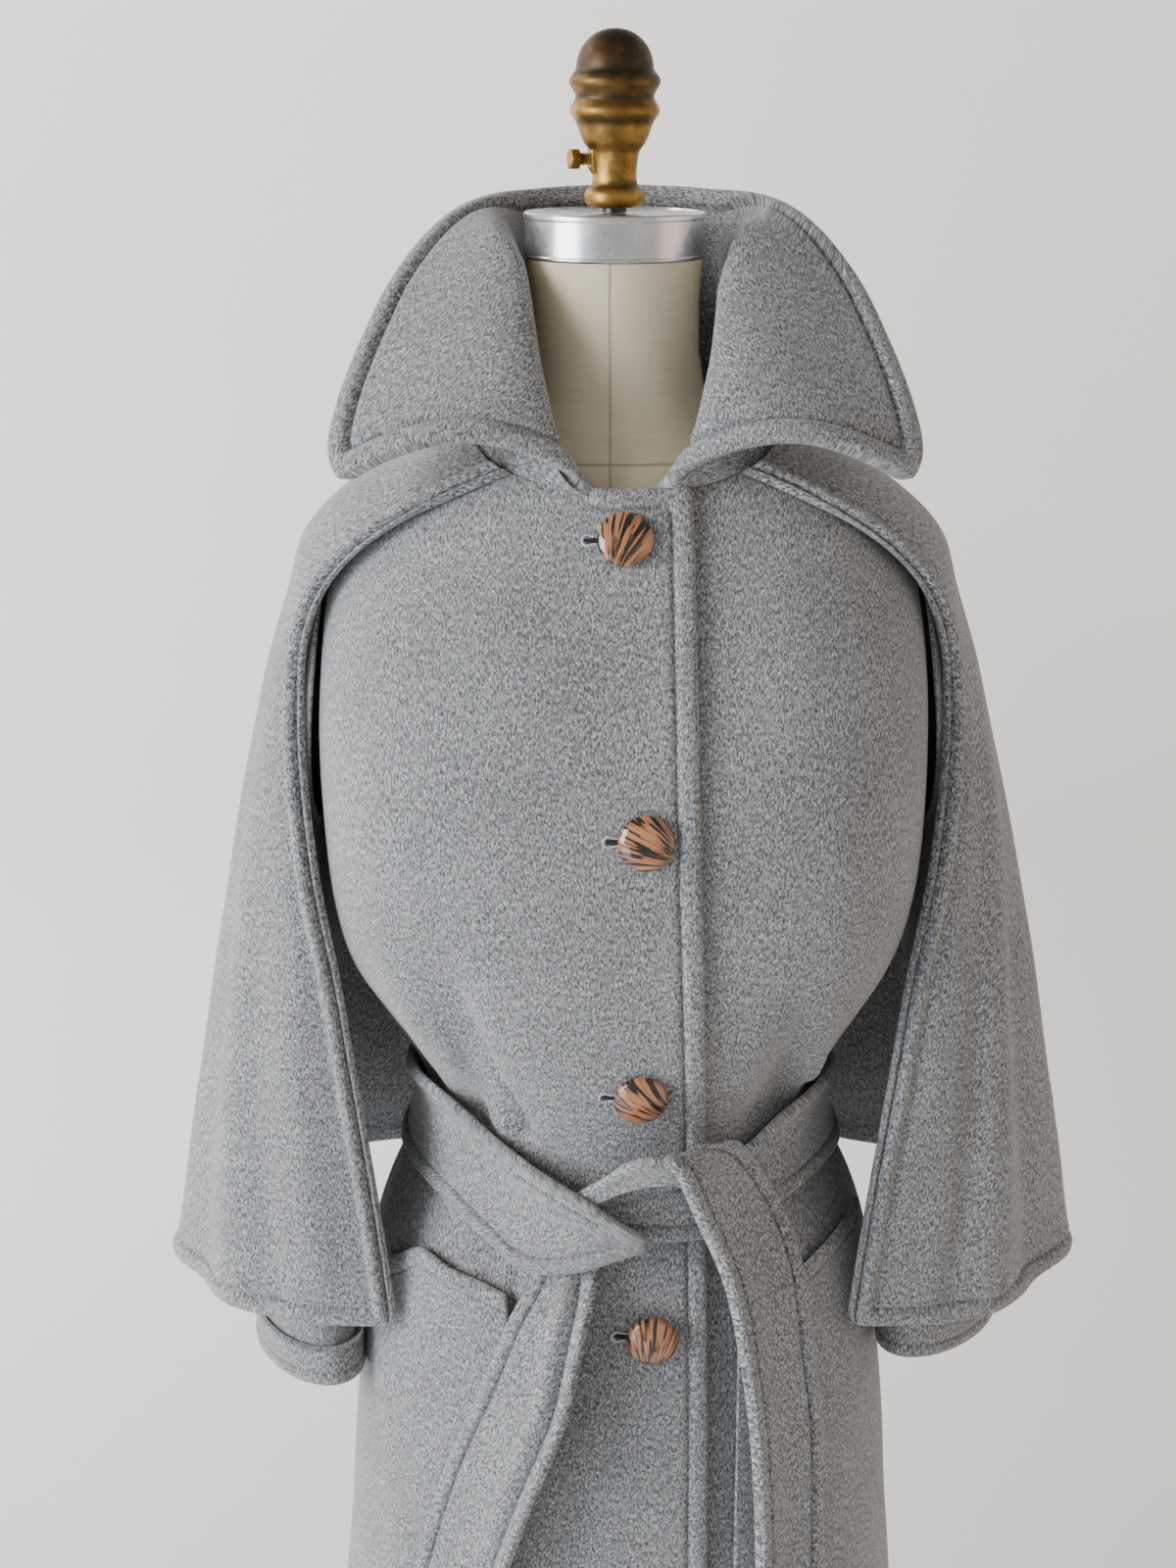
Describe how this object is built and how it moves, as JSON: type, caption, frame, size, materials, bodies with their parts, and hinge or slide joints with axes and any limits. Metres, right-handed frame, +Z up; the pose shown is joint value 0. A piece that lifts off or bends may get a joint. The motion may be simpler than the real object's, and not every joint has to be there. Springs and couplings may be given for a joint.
{
  "type": "wool cape coat on a dress form",
  "caption": "Long belted wool coat with a shoulder cape, wide pointed collar, big domed buttons and patch pockets, worn by a limbless dress form on a round stand.",
  "frame": {"origin": "middle of the stand's foot, on the floor, under the form's neck", "axes": "+Z up, -Y towards the front of the coat, +X towards the wearer's left"},
  "size_m": [0.608, 0.398, 1.6445],
  "materials": {
    "wool": "napped melange coating",
    "button": "polished, dark streaks",
    "canvas": "tight plain weave",
    "aluminium": "turned and polished",
    "brass": "antique, cast",
    "steel": "satin dark"
  },
  "bodies": {
    "root": {"front_right": "wool", "front_left": "wool", "back": "wool", "cape_right": "wool", "cape_left": "wool", "collar": "wool", "sleeve_right": "wool", "sleeve_left": "wool", "cuff_right": "wool", "cuff_left": "wool", "belt_loop": "wool", "belt_knot": "wool", "belt_end_right": "wool", "belt_end_left": "wool", "pocket_right": "wool", "pocket_left": "wool", "button_1": "button", "button_2": "button", "button_3": "button", "button_4": "button", "form_torso": "canvas", "form_neck_cap": "aluminium", "form_rod": "steel", "form_finial": "brass", "form_set_bolt": "brass", "stand_pole": "steel", "stand_hub": "steel", "stand_base": "steel"}
  },
  "joints": []
}
